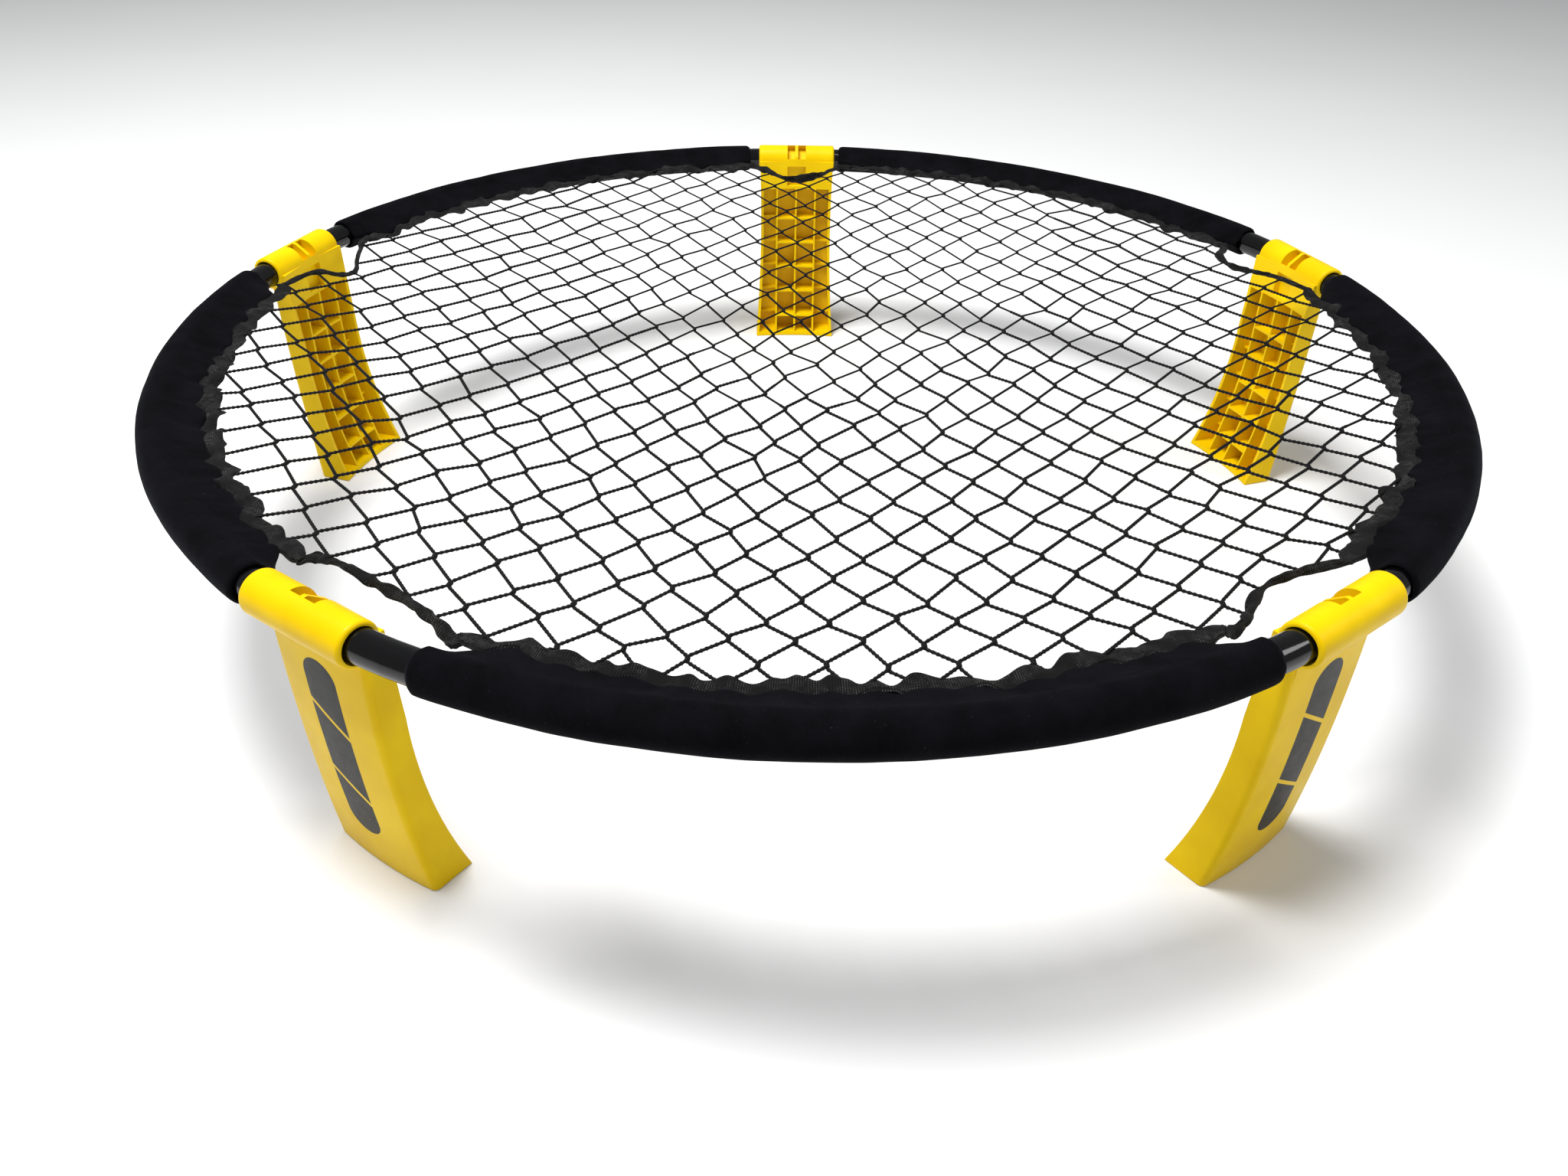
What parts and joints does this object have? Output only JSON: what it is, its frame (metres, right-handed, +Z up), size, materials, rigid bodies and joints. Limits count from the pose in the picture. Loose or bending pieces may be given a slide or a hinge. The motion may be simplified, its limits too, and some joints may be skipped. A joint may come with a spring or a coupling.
{
  "type": "roundnet rebound net",
  "caption": "Round knotted net stretched in a ring of curved tubes with fabric sleeves, standing on ribbed folding legs with round collars.",
  "frame": {"origin": "on the floor under the centre of the ring", "axes": "+Z up from the floor, +Y from the centre towards the back leg, +X to the right seen from the front"},
  "size_m": [0.9148, 0.914, 0.197],
  "materials": {
    "yellow_plastic": "satin moulded",
    "black_enamel": "gloss black",
    "sleeve_fabric": "soft knitted polyester",
    "binding_braid": "elastic braid",
    "net_twine": "twisted twine"
  },
  "bodies": {
    "ring": {"net": "net_twine", "binding_span_back": "binding_braid", "binding_span_back_left": "binding_braid", "binding_span_front_left": "binding_braid", "binding_span_front_right": "binding_braid", "binding_span_back_right": "binding_braid", "tube_back_left": "black_enamel", "sleeve_back_left": "sleeve_fabric", "binding_back_left": "binding_braid", "tube_left": "black_enamel", "sleeve_left": "sleeve_fabric", "binding_left": "binding_braid", "tube_front": "black_enamel", "sleeve_front": "sleeve_fabric", "binding_front": "binding_braid", "tube_right": "black_enamel", "sleeve_right": "sleeve_fabric", "binding_right": "binding_braid", "tube_back_right": "black_enamel", "sleeve_back_right": "sleeve_fabric", "binding_back_right": "binding_braid"},
    "leg_back": {"leg_back": "yellow_plastic"},
    "leg_back_left": {"leg_back_left": "yellow_plastic"},
    "leg_front_left": {"leg_front_left": "yellow_plastic"},
    "leg_front_right": {"leg_front_right": "yellow_plastic"},
    "leg_back_right": {"leg_back_right": "yellow_plastic"}
  },
  "joints": [
    {"name": "fold_back", "type": "hinge", "parent": "ring", "child": "leg_back", "pos_m": [0, 0.44359, 0.184], "axis": [-1, 0, 0], "range_deg": [0, 50]},
    {"name": "fold_back_left", "type": "hinge", "parent": "ring", "child": "leg_back_left", "pos_m": [-0.42188, 0.13708, 0.184], "axis": [-0.309, -0.9511, 0], "range_deg": [0, 50]},
    {"name": "fold_front_left", "type": "hinge", "parent": "ring", "child": "leg_front_left", "pos_m": [-0.26074, -0.35887, 0.184], "axis": [0.809, -0.5878, 0], "range_deg": [0, 50]},
    {"name": "fold_front_right", "type": "hinge", "parent": "ring", "child": "leg_front_right", "pos_m": [0.26074, -0.35887, 0.184], "axis": [0.809, 0.5878, 0], "range_deg": [0, 50]},
    {"name": "fold_back_right", "type": "hinge", "parent": "ring", "child": "leg_back_right", "pos_m": [0.42188, 0.13708, 0.184], "axis": [-0.309, 0.9511, 0], "range_deg": [0, 50]}
  ]
}
